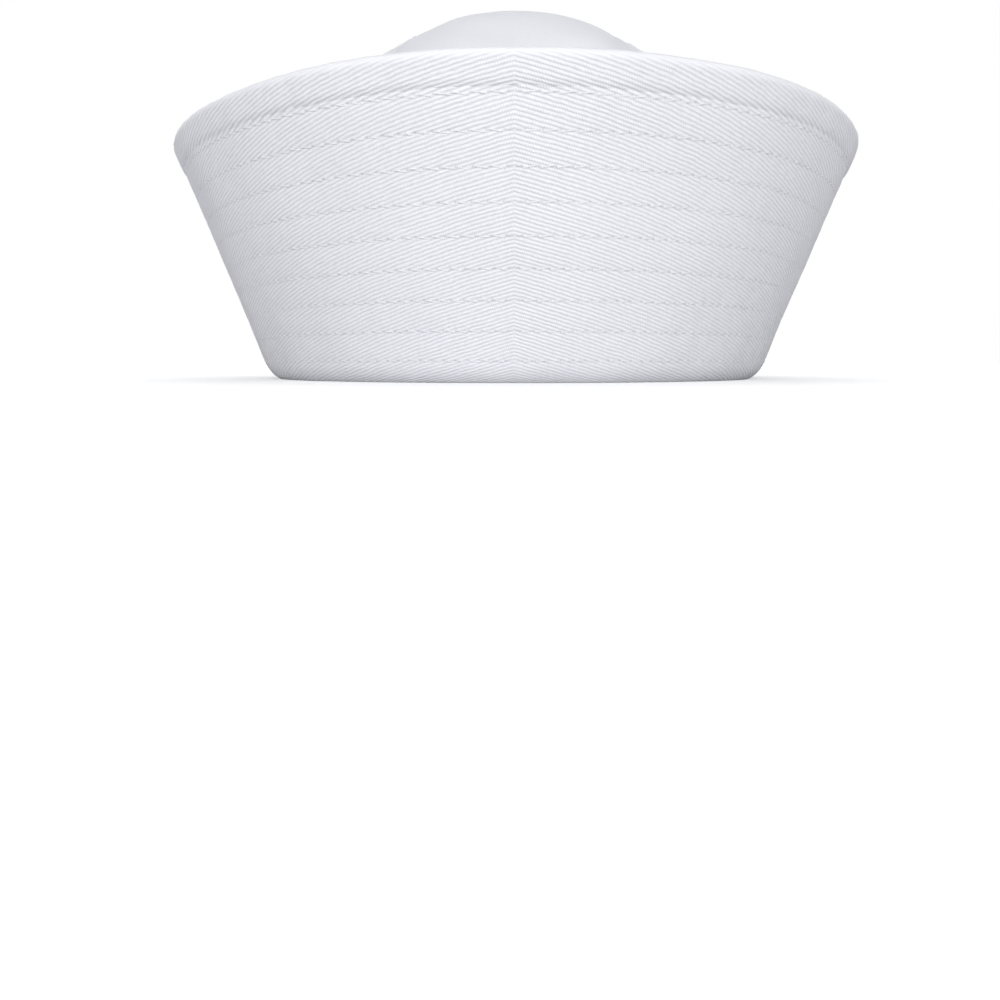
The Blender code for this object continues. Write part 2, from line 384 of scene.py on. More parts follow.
def brim_outline():
    """Outward, height and cloth height of each point round the brim's section, with the outside on the
    right. Cloth heights are up the wall from the fold's end on both faces, and negative below it."""
    rebate = HEM_CLOTH + SEAM_GAP - HEM_PROUD
    rebate_end = WALL_LENGTH - HEM_CLOTH - SEAM_GAP
    tucked_end = WALL_LENGTH - HEM_DEPTH + TUCKED_UNDER_HEM
    heights = wall_heights()
    flat_start = math.acos((FOLD_RADIUS - FOLD_FLATTENED) / FOLD_RADIUS)
    inner_radius = FOLD_RADIUS - BRIM_THICKNESS
    crotch_start = math.asin((ALLOWANCE_OUTSIDE - FOLD_CENTRE[0]) / inner_radius)
    corner = ALLOWANCE_CLOTH / 3
    seam_face = ALLOWANCE_INSIDE - SEWN_CLOSE
    flat_width = fold_point(FOLD_RADIUS, flat_start)[0] - seam_face - corner
    under = -FOLD_RADIUS * (FOLD_END - flat_start) - flat_width
    outline = [
        (seam_face + corner, ALLOWANCE_HEIGHT, under - ALLOWANCE_HEIGHT - corner),
        (seam_face, ALLOWANCE_HEIGHT - corner, under - ALLOWANCE_HEIGHT),
        (seam_face, corner, under - 1.5 * corner),
        (seam_face + corner, 0.0, under),
    ]
    for angle in np.linspace(flat_start, FOLD_END, FOLD_POINTS):
        outline.append((*fold_point(FOLD_RADIUS, angle), FOLD_RADIUS * (angle - FOLD_END)))
    for up in heights:
        outline.append((*wall_point(up, 0.0), up))
    for up, inward in (
        (tucked_end, DITCH_DEPTH),
        (tucked_end, rebate),
        (rebate_end, rebate),
        (rebate_end, BRIM_THICKNESS - rebate),
        (tucked_end, BRIM_THICKNESS - rebate),
        (tucked_end, BRIM_THICKNESS - DITCH_DEPTH),
    ):
        outline.append((*wall_point(up, inward), up))
    for up in heights[::-1]:
        outline.append((*wall_point(up, BRIM_THICKNESS), up))
    for angle in np.linspace(FOLD_END, crotch_start, INNER_FOLD_POINTS):
        outline.append((*fold_point(inner_radius, angle), inner_radius * (angle - FOLD_END)))
    outline.append((ALLOWANCE_OUTSIDE, ALLOWANCE_HEIGHT - corner, under - ALLOWANCE_HEIGHT + corner))
    return outline


def brim_face_of_outline(outline):
    """1 on the outer face, -1 on the inner face and 0 elsewhere, for each point of the outline."""
    heights = len(wall_heights())
    outer_end = ALLOWANCE_POINTS + FOLD_POINTS + heights
    inner_start = outer_end + UNDER_HEM_POINTS
    face = np.zeros(len(outline))
    face[ALLOWANCE_POINTS:outer_end] = 1
    face[inner_start:inner_start + heights + INNER_FOLD_POINTS] = -1
    return face


def add_brim(side_name, side, material):
    outline = brim_outline()
    face = brim_face_of_outline(outline)

    def lift(along, up):
        ditch = DITCH_DEPTH * bump_at(WALL_LENGTH - HEM_DEPTH - up, DITCH_WIDTH)
        return np.abs(face) * (quilting(along, up, face) * looseness_above_floor(up) - ditch)

    piece = half_ring_piece(
        f"brim_{side_name}_cloth", side, outline, lift, STITCH_PITCH / 4, brim_girth, material
    )
    dress(piece, "brim_twill", f"brim_{side_name}")


# Hem

HEM_CAP = 1.5 * MM
HEM_SINK = 0.75 * MM
HEM_ROLL = 2.4 * MM
HEM_ROLL_POINTS = 6
HEM_FACE_POINTS = 10
HEM_CAP_POINTS = 17
HEM_COVERED_POINTS = 4
SCALLOP = 0.07 * MM
SCALLOP_REACH = 1.2 * MM
HEM_TUCK = 0.04 * MM
HEM_TUCK_REACH = 1.6 * MM
HEM_WAVE = 0.5 * CLOTH_WAVE
ROPING = 0.05 * MM
ROPING_SLOPE = 0.4


def hem_outline():
    """Outward, height and cloth height of each point round the hem's section."""
    bottom, middle = WALL_LENGTH - HEM_DEPTH, BRIM_THICKNESS / 2
    half_thickness = middle + HEM_PROUD
    inside = half_thickness - HEM_CLOTH
    cap_start = WALL_LENGTH - HEM_CAP
    path = []
    for share in np.linspace(0, 1, HEM_ROLL_POINTS):
        path.append((bottom + HEM_ROLL * share, half_thickness - HEM_SINK * (1 - share) ** 2))
    for up in np.linspace(bottom + HEM_ROLL, cap_start, HEM_FACE_POINTS)[1:-1]:
        path.append((up, half_thickness))
    for angle in np.linspace(0, math.pi, HEM_CAP_POINTS):
        path.append((cap_start + HEM_CAP * math.sin(angle), half_thickness * math.cos(angle)))
    for up in np.linspace(cap_start, bottom + HEM_ROLL, HEM_FACE_POINTS)[1:-1]:
        path.append((up, -half_thickness))
    for share in np.linspace(1, 0, HEM_ROLL_POINTS):
        path.append((bottom + HEM_ROLL * share, -half_thickness + HEM_SINK * (1 - share) ** 2))
    covered_top = WALL_LENGTH - HEM_CLOTH
    path += [(bottom, -inside), (covered_top, -inside), (covered_top, inside), (bottom, inside)]
    ups, offsets = (np.array(values) for values in zip(*path))
    walked = np.concatenate([[0], np.cumsum(np.hypot(np.diff(ups), np.diff(offsets)))])
    cloth_up = walked - walked[HEM_ROLL_POINTS] + ups[HEM_ROLL_POINTS]
    return [(*wall_point(up, middle - offset), cloth) for up, offset, cloth in zip(ups, offsets, cloth_up)]


def add_hem(side_name, side, material):
    outline = hem_outline()
    seen = len(outline) - HEM_COVERED_POINTS
    shown = np.concatenate([np.ones(seen), np.zeros(HEM_COVERED_POINTS)])
    roping = Ripples(shortest=6 * MM, longest=14 * MM, count=16)

    def lift(along, cloth_up):
        count = stitch_count(np.abs(along), 0)
        from_edge = np.minimum(cloth_up - cloth_up.min(), cloth_up[..., seen - 1] - cloth_up)
        scallop = -SCALLOP * np.cos(2 * math.pi * count) * bump_at(from_edge, SCALLOP_REACH)
        tucked = -HEM_TUCK * bump_at(from_edge, HEM_TUCK_REACH)
        wave = HEM_WAVE * cloth_waves.at(along, cloth_up)
        roped = ROPING * roping.at(along, cloth_up * ROPING_SLOPE)
        return shown * (scallop + tucked + wave + roped)

    piece = half_ring_piece(
        f"hem_{side_name}_cloth", side, outline, lift, STITCH_PITCH / 4, brim_girth, material
    )
    dress(piece, "hem_twill", f"hem_{side_name}")


# Crown

crown_waves = Ripples(shortest=26 * MM, longest=70 * MM)
seam_puckers = Ripples(shortest=5 * MM, longest=11 * MM, count=18)
HALF_GORE = math.pi / 4
CROWN_WAVE = 0.8 * MM
CROWN_WAVE_AT_TOP = 0.12
CROWN_WAVE_FROM_SEAM = 12.0 * MM
CROWN_RADIUS = 90.0 * MM
DOME_LENGTH = 120.0 * MM

# Where the crown's cloth is loose and where its waves grow calm, as a rise
LOOSE_FROM = -0.1
LOOSE_OVER = 0.3
LOOSE_TO = 1.02
LOOSE_TO_OVER = 0.1
CROWN_WAVE_CALMS = 0.45
CROWN_WAVE_CALMS_OVER = 0.25

# A gore's grid, puff and seams
SEAM_PUCKER = 0.22 * MM
SEAM_PUCKER_REACH = 9.0 * MM
SEAM_PUCKER_STARTS = 2.0 * MM
SEAM_PUCKER_SLOPE = 0.3
GORES_APART = 40.0 * MM
SEAM_LENGTH = 125.0 * MM
GORE_PUFF = 0.45 * MM
GORE_PUFF_LEAN = 1.3
GORE_COLUMNS = 65
COLUMNS_TO_SEAMS = 0.45
GORE_ROWS = 96
GORE_WALL_ROWS = 9
ROWS_TO_TIP = 0.93
SEAM_BAND = 5.0 * MM
SEAM_BAND_RAISED = 0.32 * MM
SEAM_BAND_EDGE = 0.8 * MM
SEAM_EDGE = 0.7 * MM
SEWN_IN_BELOW = -0.78
SEAM_DIP = 0.45 * MM
SEAM_STITCHES_FROM_SEAM = 3.9 * MM
SEAM_STITCHES_PRESSED = 0.16 * MM
SEAM_STITCHES_WIDTH = 0.6 * MM
INSIDE_FOLLOWS = 0.5
INSIDE_CLOTH = 0.9 * CROWN_CLOTH


def crown_point(turn, across, rise, raised=0.0):
    """Points on the crown's outer face. Across is -1 to 1 from seam to seam. Rise is -1 to 0 up the wall
    and 0 to 1 up the dome."""
    dome_height = CROWN_HEIGHT - CROWN_SETTLED - DOME_START
    in_dome = np.clip(rise, 0, 1)
    lean = in_dome * (math.pi / 2) * (1 - GORE_TIP_SHARE)
    spread = np.cos(lean) ** (2 / DOME_FULLNESS)
    up = np.sin(lean) ** (2 / DOME_FULLNESS)
    fade = smooth_step(in_dome / SINK_FADE) * smooth_step((1 - in_dome) / SINK_FADE)
    sunk = 1 - SEAM_SINK / dome_height * np.abs(across) ** SINK_SHARPNESS * fade
    normal_up = up ** (DOME_FULLNESS - 1) * (HEAD_HALF_WIDTH + HEAD_HALF_LENGTH) / 2 / dome_height
    normal_out = spread ** (DOME_FULLNESS - 1)
    length = np.hypot(normal_up, normal_out)
    normal_up, normal_out = normal_up / length, normal_out / length
    x, y = oval_point(turn, CROWN_OUTSIDE)
    metre_out_x, metre_out_y = oval_point(turn, CROWN_OUTSIDE + 1)
    push = raised * normal_out
    x = x * spread * sunk + (metre_out_x - x) * push
    y = y * spread * sunk + (metre_out_y - y) * push
    wall = np.minimum(rise, 0) * (DOME_START - CROWN_LIFT)
    z = DOME_START + dome_height * up * sunk + wall + raised * normal_up
    return np.stack(np.broadcast_arrays(x, y, z), axis=-1)


def gore_grid(middle_turn):
    """Turn, across and rise of a gore's grid, with closer columns by the seams."""
    share = np.linspace(-1, 1, GORE_COLUMNS)
    across = (share + COLUMNS_TO_SEAMS * np.sin(math.pi * share) / math.pi)[:, None]
    wall = np.linspace(-1, 0, GORE_WALL_ROWS)[:-1]
    dome = np.linspace(0, 1, GORE_ROWS) ** ROWS_TO_TIP
    turn = middle_turn + across * HALF_GORE
    return turn, across, np.concatenate([wall, dome])[None, :]


def seam_distance(turn, across, rise):
    """Distance over the cloth from a gore's nearer seam."""
    middle_turn = turn - across * HALF_GORE
    middle = crown_point(middle_turn, 0 * across, rise)
    edge = crown_point(middle_turn + np.sign(across + SMALL) * HALF_GORE, 0 * across, rise)
    return np.linalg.norm(edge - middle, axis=-1) * (1 - np.abs(across))


def gore_relief(turn, across, rise):
    """How far a gore's cloth stands off the plain crown: a raised band by its seams with a pressed row of
    stitches, puckers there, soft waves and a little puff."""
    distance = seam_distance(turn, across, rise)
    band = SEAM_BAND_RAISED * smooth_step((SEAM_BAND - distance) / SEAM_BAND_EDGE)
    stitched = -SEAM_STITCHES_PRESSED * bump_at(distance - SEAM_STITCHES_FROM_SEAM, SEAM_STITCHES_WIDTH)
    above_allowance = smooth_step((rise - SEWN_IN_BELOW) / (1 + SEWN_IN_BELOW))
    dip = -SEAM_DIP * (1 - smooth_step(distance / SEAM_EDGE)) * above_allowance
    loose = smooth_step((rise - LOOSE_FROM) / LOOSE_OVER) * smooth_step((LOOSE_TO - rise) / LOOSE_TO_OVER)
    calmed = smooth_step((rise - CROWN_WAVE_CALMS) / CROWN_WAVE_CALMS_OVER)
    wave_height = CROWN_WAVE * (1 - (1 - CROWN_WAVE_AT_TOP) * calmed) * loose
    wave_height = wave_height * smooth_step(distance / CROWN_WAVE_FROM_SEAM)
    place_along, place_up = np.sin(turn) * CROWN_RADIUS, np.cos(turn) * CROWN_RADIUS + rise * DOME_LENGTH
    waves = wave_height * crown_waves.at(place_along, place_up)
    puff = GORE_PUFF * (1 - across**2) * np.sin(math.pi * np.clip(rise, 0, 1) ** GORE_PUFF_LEAN)
    place_across = SEAM_PUCKER_SLOPE * distance + GORES_APART * (np.sign(across) + turn - across * HALF_GORE)
    pucker_height = SEAM_PUCKER * bump_at(distance, SEAM_PUCKER_REACH) * loose
    pucker_height = pucker_height * smooth_step(distance / SEAM_PUCKER_STARTS)
    pucker = pucker_height * seam_puckers.at(rise * SEAM_LENGTH, place_across)
    return band + stitched + dip + puff + pucker + waves


def add_gore(side_name, middle_turn, material):
    turn, across, rise = gore_grid(middle_turn)
    relief = gore_relief(turn, across, rise)
    outer = crown_point(turn, across, rise, relief)
    inner = crown_point(turn, across, rise, np.minimum(relief, 0) * INSIDE_FOLLOWS - INSIDE_CLOTH)
    # Neighbouring gores stop just short of the seam between them.
    sideways = np.array([math.cos(middle_turn), math.sin(middle_turn), 0.0])
    shift = -across[..., None] * HALF_JOIN_GAP * math.sqrt(2) * sideways
    columns, rows = outer.shape[:2]
    points = np.concatenate([(outer + shift).reshape(-1, 3), (inner + shift).reshape(-1, 3)])
    face = quads_between(columns, rows)
    count = columns * rows
    rim = np.concatenate([
        np.arange(columns) * rows,
        (columns - 1) * rows + np.arange(1, rows),
        np.arange(columns - 2, -1, -1) * rows + rows - 1,
        np.arange(rows - 2, 0, -1),
    ])
    next_rim = np.roll(rim, -1)
    walls = np.stack([rim, next_rim, next_rim + count, rim + count], axis=-1)
    faces = np.concatenate([face, face + count, walls])
    along = across * np.linalg.norm(outer[-1:] - outer[:1], axis=-1) / 2 / MM
    steps = np.linalg.norm(np.diff(outer[columns // 2], axis=0), axis=-1)
    up = np.concatenate([[0], np.cumsum(steps)])[None, :] / MM
    cloth = np.stack(np.broadcast_arrays(along, up), axis=-1).reshape(-1, 2)
    cloth = np.concatenate([cloth, cloth])
    piece = add_piece(f"crown_gore_{side_name}_cloth", points, faces, "cloth", cloth, material)
    dress(piece, "crown_twill", f"crown_gore_{side_name}")


# Sweatband

BAND_COLUMNS = 280
BAND_INNER_POINTS = 24
BAND_OUTER_POINTS = 6
BAND_EDGE_POINTS = 7
BAND_RIPPLE = 0.25 * MM
BAND_TURNED_UP = 5.0 * MM
BAND_TURN_MARK = 0.12 * MM
BAND_TURN_MARK_WIDTH = 0.6 * MM
INNER_RIPPLE_SHARE = 0.4
OUTER_RIPPLE_SHARE = 0.2
CLEAR_OF_HEAD = 0.02 * MM
BAND_RADIUS_MM = 88


def add_sweatband(material):
    """A closed band with eased edges, a turned lower edge and a slightly wavy top."""
    bottom, top, thickness = sweatband_low.z, sweatband_high.z, SWEATBAND_THICKNESS
    ease = thickness / 2
    path = [(0.0, height) for height in np.linspace(top - ease, bottom + ease, BAND_INNER_POINTS)]
    for angle in np.linspace(-math.pi / 2, math.pi / 2, BAND_EDGE_POINTS):
        path.append((ease + ease * math.sin(angle), bottom + ease - ease * math.cos(angle)))
    for height in np.linspace(bottom + ease, top - ease, BAND_OUTER_POINTS)[1:]:
        path.append((thickness, height))
    for angle in np.linspace(math.pi / 2, -math.pi / 2, BAND_EDGE_POINTS)[1:-1]:
        path.append((ease + ease * math.sin(angle), top - ease + ease * math.cos(angle)))
    outward, height = (np.array(values) for values in zip(*path))
    turn = np.linspace(0, 2 * math.pi, BAND_COLUMNS, endpoint=False)[:, None]
    waves = RoundWaves(fewest=5, most=11)
    ripples = BAND_RIPPLE * waves.at(turn) * smooth_step((height - bottom) / (top - bottom))
    mark = BAND_TURN_MARK * bump_at(height - bottom - BAND_TURNED_UP, BAND_TURN_MARK_WIDTH)
    inner, outer = ripples * INNER_RIPPLE_SHARE + mark, ripples * OUTER_RIPPLE_SHARE
    outward = outward + np.where(outward < ease, inner, outer)
    points = place_round(turn, np.clip(outward, CLEAR_OF_HEAD, None), height + np.zeros_like(turn))
    cloth = np.stack(np.broadcast_arrays(turn * BAND_RADIUS_MM, height / MM), axis=-1)
    faces = quads_between(BAND_COLUMNS, len(path), closed_columns=True, closed_rows=True)
    piece = add_piece("sweatband_cloth", points, faces, "cloth", cloth, material)
    dress(piece, "sweatband_cotton", "sweatband")


# Stitches

THREAD_SIDES = 6
STITCH_STATIONS = np.array([0.0, 0.12, 0.32, 0.5, 0.68, 0.88, 1.0])
STITCH_GIRTHS = np.array([0.35, 0.85, 1.0, 1.0, 1.0, 0.85, 0.35])
ARCH_SHARPNESS = 0.5
NORMAL_STEP = 0.2 * MM

# Unevenness of the brim's stitches
ALONG_SPREAD = 0.12 * MM
UP_SPREAD = 0.07 * MM
LENGTH_SPREAD = 0.05
SLANT_SPREAD = 0.25

# Stitches beside the crown's seams and on the sweatband
SEAM_STITCHES_FROM = -0.7
SEAM_STITCHES_TO = 0.995
SEAM_STITCHES_STEPS = 600
SEAM_STITCHES_ROOM = 2.2
SEAM_STITCH_PITCH = 3.2 * MM
SEAM_STITCH_LENGTH = 2.3 * MM
SEAM_STITCH_SPREAD = 0.08 * MM
BAND_STITCH_PITCH = 3.3 * MM
BAND_STITCH_LENGTH = 2.4 * MM
PLAIN_SLANT = 0.4 * MM


def thread_stitches(surface, starts, ends):
    """Tubes for stitches that go into the cloth at both ends. Starts and ends are (count, 2) arrays of
    surface coordinates, and surface(first, second, raised) gives points. Returns the tubes' points, side
    faces and end faces, and thread coordinates for the corners of those faces."""
    share = STITCH_STATIONS[None, :]
    first = starts[:, :1] + (ends[:, :1] - starts[:, :1]) * share
    second = starts[:, 1:] + (ends[:, 1:] - starts[:, 1:]) * share
    arch = THREAD_ARCH * np.sin(math.pi * share) ** ARCH_SHARPNESS
    raised = THREAD_RADIUS * (arch - THREAD_SUNK) * np.ones_like(first)
    centre = surface(first, second, raised)
    outside = surface(first, second, raised + NORMAL_STEP) - centre
    outside /= np.linalg.norm(outside, axis=-1, keepdims=True)
    forward = np.gradient(centre, axis=1)
    forward /= np.linalg.norm(forward, axis=-1, keepdims=True)
    sideways = np.cross(forward, outside)
    sideways /= np.linalg.norm(sideways, axis=-1, keepdims=True)
    angle = (np.arange(THREAD_SIDES) * 2 * math.pi / THREAD_SIDES)[:, None]
    girth = THREAD_RADIUS * STITCH_GIRTHS[None, :, None, None]
    around = np.cos(angle) * outside[:, :, None, :] + np.sin(angle) * sideways[:, :, None, :]
    points = centre[:, :, None, :] + girth * around
    stations = len(STITCH_STATIONS)
    one = quads_between(stations, THREAD_SIDES, closed_rows=True)
    shift = np.arange(len(starts))[:, None, None] * stations * THREAD_SIDES
    sides = (one[None] + shift).reshape(-1, 4).tolist()
    ring = np.arange(THREAD_SIDES)
    caps = np.stack([ring, (stations - 1) * THREAD_SIDES + ring[::-1]])
    caps = (caps[None] + shift).reshape(-1, THREAD_SIDES).tolist()
    length_along = STITCH_STATIONS[one // THREAD_SIDES] * STITCH_LENGTH / MM
    first_around = (one % THREAD_SIDES)[:, :1]
    around_girth = (first_around + np.array([0, 0, 1, 1])) / THREAD_SIDES
    one_twist = np.stack([length_along, around_girth], axis=-1).reshape(-1, 2)
    side_twist = np.tile(one_twist, (len(starts), 1))
    cap_twist = np.zeros((2 * THREAD_SIDES * len(starts), 2))
    return points.reshape(-1, 3), sides, caps, np.concatenate([side_twist, cap_twist])


def add_stitches(name, batches, material, slot):
    """One piece from several batches of stitches."""
    points, faces, twists, total = [], [], [], 0
    for batch_points, sides, caps, batch_twist in batches:
        faces += [[corner + total for corner in face] for face in sides + caps]
        points.append(batch_points)
        twists.append(batch_twist)
        total += len(batch_points)
    twist = np.concatenate(twists)
    piece = add_piece(
        name, np.concatenate(points), faces, "thread", twist, material, sharp_angle=80, by_corner=True
    )
    dress(piece, slot)


def brim_stitches(side, face):
    """Every row of stitches on one face of one half of the brim."""
    inward = 0.0 if face > 0 else BRIM_THICKNESS

    def surface(along, up, raised):
        ditch = DITCH_DEPTH * bump_at(WALL_LENGTH - HEM_DEPTH - up, DITCH_WIDTH)
        off = quilting(side * along, up, face) * looseness_above_floor(up) - ditch + raised
        outward, height = wall_point(up, inward - face * off)
        return place_round(side * brim_girth.turn_at(along), outward, height)

    batches = []
    for row in range(STITCH_ROWS):
        count = int(brim_girth.half / STITCH_PITCH - row_phase(row))
        middle = (np.arange(count) + row_phase(row) + 0.5) * STITCH_PITCH
        middle = middle + ALONG_SPREAD * random.standard_normal(count)
        length = STITCH_LENGTH * (1 + LENGTH_SPREAD * random.standard_normal(count))
        slant = STITCH_SLANT * (1 + SLANT_SPREAD * random.standard_normal(count)) * face
        up = row_heights[row] + UP_SPREAD * random.standard_normal(count)
        starts = np.stack([middle - length / 2, up - slant / 2], axis=-1)
        ends = np.stack([middle + length / 2, up + slant / 2], axis=-1)
        batches.append(thread_stitches(surface, starts, ends))
    return batches


def crown_seam_stitches():
    """A row of stitches along each side of each crown seam, from the trough to near the tip."""
    batches = []
    for seam in range(4):
        for side in (-1, 1):
            middle_turn = (2 * seam + 1 + side) * HALF_GORE
            rise = np.linspace(SEAM_STITCHES_FROM, SEAM_STITCHES_TO, SEAM_STITCHES_STEPS)
            middle = crown_point(middle_turn, 0.0, rise)
            seam_line = crown_point(middle_turn - side * HALF_GORE, 0.0, rise)
            half_width = np.linalg.norm(seam_line - middle, axis=-1)
            across = -side * (1 - SEAM_STITCHES_FROM_SEAM / half_width)
            shown = half_width > SEAM_STITCHES_ROOM * SEAM_STITCHES_FROM_SEAM
            line = crown_point(middle_turn + across * HALF_GORE, across, rise)[shown]
            length = np.concatenate([[0], np.cumsum(np.linalg.norm(np.diff(line, axis=0), axis=-1))])

            def surface(distance, aside, raised, side=side, middle_turn=middle_turn):
                risen = np.interp(distance, length, rise[shown])
                offset = np.interp(distance, length, across[shown])
                offset = offset + aside / np.interp(distance, length, half_width[shown])
                turn = middle_turn + offset * HALF_GORE
                return crown_point(turn, offset, risen, gore_relief(turn, offset, risen) + raised)

            count = int(length[-1] / SEAM_STITCH_PITCH)
            at = (np.arange(count) + 0.5) * SEAM_STITCH_PITCH
            at = at + SEAM_STITCH_SPREAD * random.standard_normal(count)
            starts = np.stack([at - SEAM_STITCH_LENGTH / 2, np.full(count, -PLAIN_SLANT / 2)], axis=-1)
            ends = np.stack([at + SEAM_STITCH_LENGTH / 2, np.full(count, PLAIN_SLANT / 2)], axis=-1)
            batches.append(thread_stitches(surface, starts, ends))
    return batches


def sweatband_stitches():
    """A row of stitches along the sweatband's lower edge, on its inner face."""
    girth = Girth(0.0)

    def surface(along, height, raised):
        return place_round(girth.turn_at(along), -raised, height)

    count = int(2 * girth.half / BAND_STITCH_PITCH)
    at = (np.arange(count) + 0.5) * 2 * girth.half / count
    height = np.full(count, sweatband_low.z + BAND_TURNED_UP)
    starts = np.stack([at - BAND_STITCH_LENGTH / 2, height - PLAIN_SLANT / 2], axis=-1)
    ends = np.stack([at + BAND_STITCH_LENGTH / 2, height + PLAIN_SLANT / 2], axis=-1)
    return [thread_stitches(surface, starts, ends)]


# Materials

class Shading:
    """A material's nodes, with short calls for maths on sockets or numbers."""

    def __init__(self, name):
        self.material = bpy.data.materials.new(name)
        self.material.use_nodes = True
        self.tree = self.material.node_tree
        self.shader = self.tree.nodes["Principled BSDF"]

    def node(self, kind, **settings):
        made = self.tree.nodes.new(kind)
        for setting, value in settings.items():
            setattr(made, setting, value)
        return made

    def connect(self, value, socket):
        if isinstance(value, bpy.types.NodeSocket):
            self.tree.links.new(value, socket)
        else:
            socket.default_value = value

    def math(self, operation, *values):
        made = self.node("ShaderNodeMath", operation=operation)
        for value, socket in zip(values, made.inputs):
            self.connect(value, socket)
        return made.outputs[0]

    def coordinates(self, map_name):
        """The two numbers of a UV map."""
        parts = self.node("ShaderNodeSeparateXYZ")
        self.connect(self.node("ShaderNodeUVMap", uv_map=map_name).outputs["UV"], parts.inputs[0])
        return parts.outputs["X"], parts.outputs["Y"]

    def place(self, *values):
        """A vector from up to three numbers."""
        made = self.node("ShaderNodeCombineXYZ")
        for value, socket in zip(values, made.inputs):
            self.connect(value, socket)
        return made.outputs[0]

    def noise(self, scale, detail=3.0, roughness=0.55, place=None):
        """Noise over the piece's own place in waves to the metre, or over another vector."""
        made = self.node("ShaderNodeTexNoise")
        if place is None:
            place = self.node("ShaderNodeTexCoord").outputs["Object"]
        self.connect(place, made.inputs["Vector"])
        made.inputs["Scale"].default_value = scale
        made.inputs["Detail"].default_value = detail
        made.inputs["Roughness"].default_value = roughness
        return made.outputs["Fac"]

    def wave(self, phase):
        """0 to 1 and back for each whole number of the phase."""
        turned = self.math("COSINE", self.math("MULTIPLY", phase, 2 * math.pi))
        return self.math("MULTIPLY_ADD", turned, -0.5, 0.5)

    def spot(self, distance, width):
        """1 at no distance, falling off within about the width."""
        share = self.math("DIVIDE", distance, width)
        return self.math("EXPONENT", self.math("MULTIPLY", self.math("MULTIPLY", share, share), -1.0))

    def blend(self, factor, first, second):
        made = self.node("ShaderNodeMix", data_type="RGBA")
        self.connect(factor, made.inputs["Factor"])
        self.connect(first, made.inputs["A"])
        self.connect(second, made.inputs["B"])
        return made.outputs["Result"]

    def bump(self, height, distance):
        made = self.node("ShaderNodeBump")
        made.inputs["Strength"].default_value = 1.0
        made.inputs["Distance"].default_value = distance
        self.connect(height, made.inputs["Height"])
        return made.outputs["Normal"]


# Each cloth's own tone, and a darker tone for the grooves between its wales, which is painted shade
COTTON = (0.84, 0.84, 0.872, 1.0)
COTTON_GROOVE_SHADE = (0.65, 0.65, 0.695, 1.0)
CROWN_COTTON = (0.812, 0.822, 0.854, 1.0)
CROWN_GROOVE_SHADE = (0.745, 0.76, 0.80, 1.0)
BAND_COTTON = (0.74, 0.74, 0.77, 1.0)
BAND_GROOVE_SHADE = (0.62, 0.62, 0.655, 1.0)
# Painted shade in the needle holes, and a painted shadow in the crease below each thread, darken the brim's
# colour
PIT_SHADE = (0.34, 0.34, 0.42, 1.0)
# The thread's own tone, and painted shade for the grooves between its plies
THREAD = (0.83, 0.83, 0.86, 1.0)
THREAD_GROOVE_SHADE = (0.73, 0.73, 0.77, 1.0)
HOLE_SHADE = 0.24
HOLE_SPREAD = 0.085
HOLE_SPREAD_UP = 0.36
CREASE_AND_SHADOW_BELOW_THREAD = 0.34
CREASE_AND_SHADOW_WIDTH = 0.16
THREAD_SHADOW_DARKNESS = 0.15
CREASE_RELIEF = 4.5
# The hem's top edge is pressed smooth, and lightened there: a painted highlight
EDGE_HEIGHT_MM = (WALL_LENGTH - HEM_CAP) / MM + 1.4
EDGE_REACH_MM = 1.3
EDGE_HIGHLIGHT_LEVEL = 1.05
EDGE_PRESS_AND_HIGHLIGHT = 0.8
WALE_PITCH_MM = 0.96
WALE_SLANT = math.tan(math.radians(15.5))
WALE_FLATNESS = 0.6
YARN_PITCH = 0.62
YARN_RELIEF = 0.2

# Unevenness of the weave. Drift and pull are in wales, and waves are to the metre but for the slub's
DRIFT_WAVES = 420.0
DRIFT = 0.36
PULL_WAVES = 90.0
PULL = 0.7
SLUB_STRETCH = 0.75
SLUB_WAVES = 1.1
SLUB = 0.7
FUZZ_WAVES = 2600.0
FUZZ = 0.25
BLOTCH_WAVES = 45.0
BLOTCH = 0.24
COTTON_ROUGHNESS = 0.82
ROUGHNESS_SPREAD = 0.12

# Thread
CREASE_AND_SHADOW_REACH = 0.42
PLY_WAVES = 1.5
PLIES = 2.0
PLY_SHARPNESS = 0.5
THREAD_FUZZ_WAVES = 5000.0
THREAD_FUZZ = 0.3
THREAD_RELIEF = 0.06 * MM
THREAD_ROUGHNESS = 0.6
THREAD_ROUGHNESS_SPREAD = 0.1


